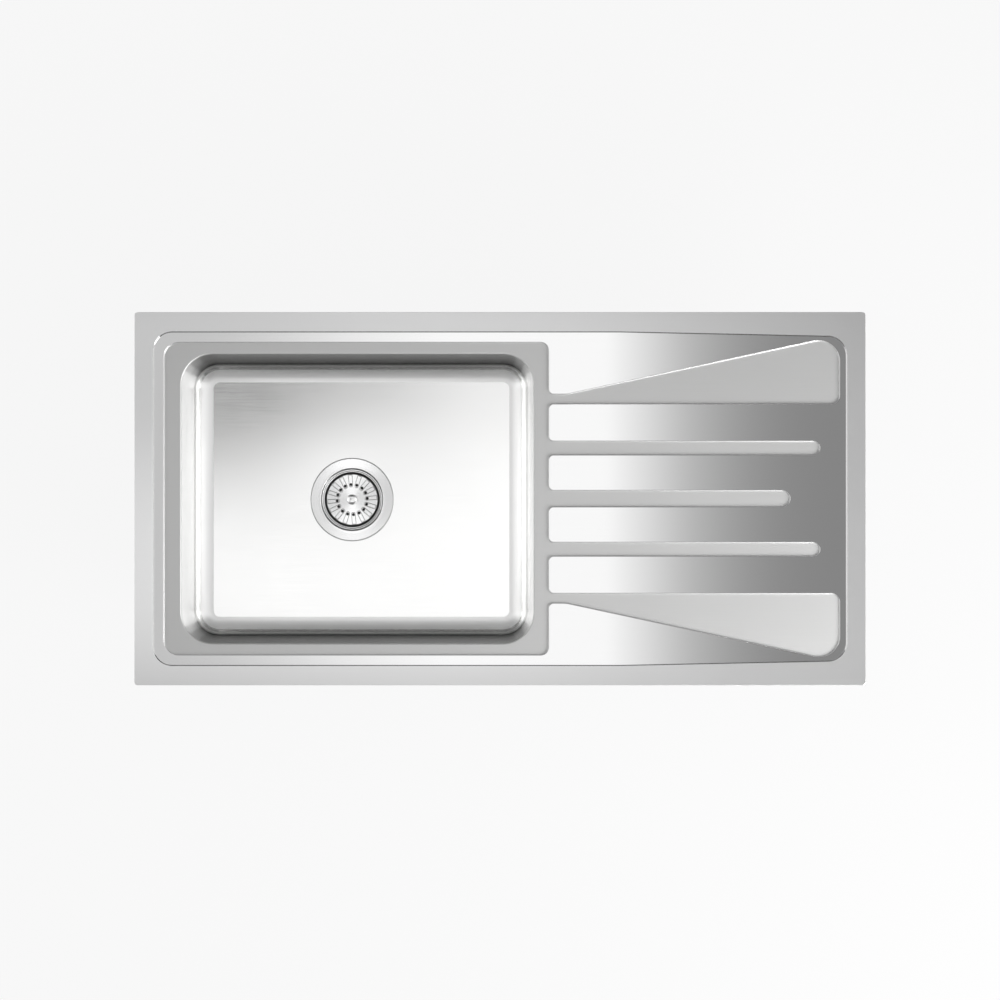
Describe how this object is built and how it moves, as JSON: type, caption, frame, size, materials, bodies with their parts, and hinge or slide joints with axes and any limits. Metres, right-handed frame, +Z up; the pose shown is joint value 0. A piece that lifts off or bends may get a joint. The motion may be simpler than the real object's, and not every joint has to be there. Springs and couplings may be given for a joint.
{
  "type": "kitchen sink with drainboard",
  "caption": "Inset stainless steel kitchen sink: deep rectangular bowl with lift-out basket strainer at the left, grooved drainboard at the right, clamped in a worktop cut-out by screwed clips.",
  "frame": {"origin": "middle of the sink's outline, in the plane of the worktop on which the sealing strip rests", "axes": "+Z up, +X from the bowl towards the drainboard, +Y towards the back edge"},
  "size_m": [0.98, 0.5, 0.2906],
  "materials": {
    "steel_deck": "pressed stainless steel, satin rim and recesses, mirror-bright deck",
    "steel_bowl": "deep-drawn stainless steel, fine satin",
    "steel_strainer": "turned and pressed stainless steel, circular brushing",
    "steel_polished": "polished stainless steel",
    "steel_zinc": "zinc-plated steel",
    "rubber_black": "black rubber",
    "foam_grey": "closed-cell foam strip",
    "pad_black": "bitumen damping sheet",
    "plastic_white": "white polypropylene",
    "brass": "plain brass"
  },
  "bodies": {
    "root": {"deck": "steel_deck", "bowl": "steel_bowl", "bowl_pad": "pad_black", "drainer_pads": "pad_black", "sealing_strip": "foam_grey", "rail_back": "steel_zinc", "rail_front": "steel_zinc", "rail_left": "steel_zinc", "rail_right": "steel_zinc", "clip_bracket_1": "steel_zinc", "clip_bracket_2": "steel_zinc", "clip_bracket_3": "steel_zinc", "clip_bracket_4": "steel_zinc", "clip_bracket_5": "steel_zinc", "clip_bracket_6": "steel_zinc", "flange_seal": "rubber_black", "body_gasket": "rubber_black", "strainer_cup": "steel_strainer", "waste_body": "plastic_white", "waste_spigot": "plastic_white", "waste_screw": "steel_polished", "waste_nut": "brass"},
    "basket": {"basket_plate": "steel_strainer", "basket_rim_ring": "rubber_black", "basket_cup": "steel_strainer", "basket_stem": "steel_polished", "basket_stopper": "rubber_black", "basket_nut": "steel_polished", "basket_knob": "steel_polished"},
    "clip_claw_1": {"clip_claw_1": "steel_zinc"},
    "clip_screw_1": {"clip_screw_1": "steel_zinc"},
    "clip_claw_2": {"clip_claw_2": "steel_zinc"},
    "clip_screw_2": {"clip_screw_2": "steel_zinc"},
    "clip_claw_3": {"clip_claw_3": "steel_zinc"},
    "clip_screw_3": {"clip_screw_3": "steel_zinc"},
    "clip_claw_4": {"clip_claw_4": "steel_zinc"},
    "clip_screw_4": {"clip_screw_4": "steel_zinc"},
    "clip_claw_5": {"clip_claw_5": "steel_zinc"},
    "clip_screw_5": {"clip_screw_5": "steel_zinc"},
    "clip_claw_6": {"clip_claw_6": "steel_zinc"},
    "clip_screw_6": {"clip_screw_6": "steel_zinc"}
  },
  "joints": [
    {"name": "basket_lift", "type": "slide", "parent": "root", "child": "basket", "axis": [0, 0, 1], "range_m": [0, 0.06]},
    {"name": "clip_1_climb", "type": "slide", "parent": "root", "child": "clip_claw_1", "axis": [0, 0, 1], "range_m": [0, 0.012]},
    {"name": "clip_1_turn", "type": "hinge", "parent": "clip_claw_1", "child": "clip_screw_1", "pos_m": [-0.31, 0.228, -0.056], "axis": [0, 0, 1], "range_deg": [0, 4320]},
    {"name": "clip_2_climb", "type": "slide", "parent": "root", "child": "clip_claw_2", "axis": [0, 0, 1], "range_m": [0, 0.012]},
    {"name": "clip_2_turn", "type": "hinge", "parent": "clip_claw_2", "child": "clip_screw_2", "pos_m": [0.16, 0.228, -0.056], "axis": [0, 0, 1], "range_deg": [0, 4320]},
    {"name": "clip_3_climb", "type": "slide", "parent": "root", "child": "clip_claw_3", "axis": [0, 0, 1], "range_m": [0, 0.012]},
    {"name": "clip_3_turn", "type": "hinge", "parent": "clip_claw_3", "child": "clip_screw_3", "pos_m": [0.16, -0.228, -0.056], "axis": [0, 0, 1], "range_deg": [0, 4320]},
    {"name": "clip_4_climb", "type": "slide", "parent": "root", "child": "clip_claw_4", "axis": [0, 0, 1], "range_m": [0, 0.012]},
    {"name": "clip_4_turn", "type": "hinge", "parent": "clip_claw_4", "child": "clip_screw_4", "pos_m": [-0.31, -0.228, -0.056], "axis": [0, 0, 1], "range_deg": [0, 4320]},
    {"name": "clip_5_climb", "type": "slide", "parent": "root", "child": "clip_claw_5", "axis": [0, 0, 1], "range_m": [0, 0.012]},
    {"name": "clip_5_turn", "type": "hinge", "parent": "clip_claw_5", "child": "clip_screw_5", "pos_m": [-0.468, 0, -0.056], "axis": [0, 0, 1], "range_deg": [0, 4320]},
    {"name": "clip_6_climb", "type": "slide", "parent": "root", "child": "clip_claw_6", "axis": [0, 0, 1], "range_m": [0, 0.012]},
    {"name": "clip_6_turn", "type": "hinge", "parent": "clip_claw_6", "child": "clip_screw_6", "pos_m": [0.468, 0, -0.056], "axis": [0, 0, 1], "range_deg": [0, 4320]}
  ],
  "couplings": [
    {"joint": "clip_1_turn", "follows": "clip_1_climb", "rad_per_m": 6283.2},
    {"joint": "clip_2_turn", "follows": "clip_2_climb", "rad_per_m": 6283.2},
    {"joint": "clip_3_turn", "follows": "clip_3_climb", "rad_per_m": 6283.2},
    {"joint": "clip_4_turn", "follows": "clip_4_climb", "rad_per_m": 6283.2},
    {"joint": "clip_5_turn", "follows": "clip_5_climb", "rad_per_m": 6283.2},
    {"joint": "clip_6_turn", "follows": "clip_6_climb", "rad_per_m": 6283.2}
  ]
}
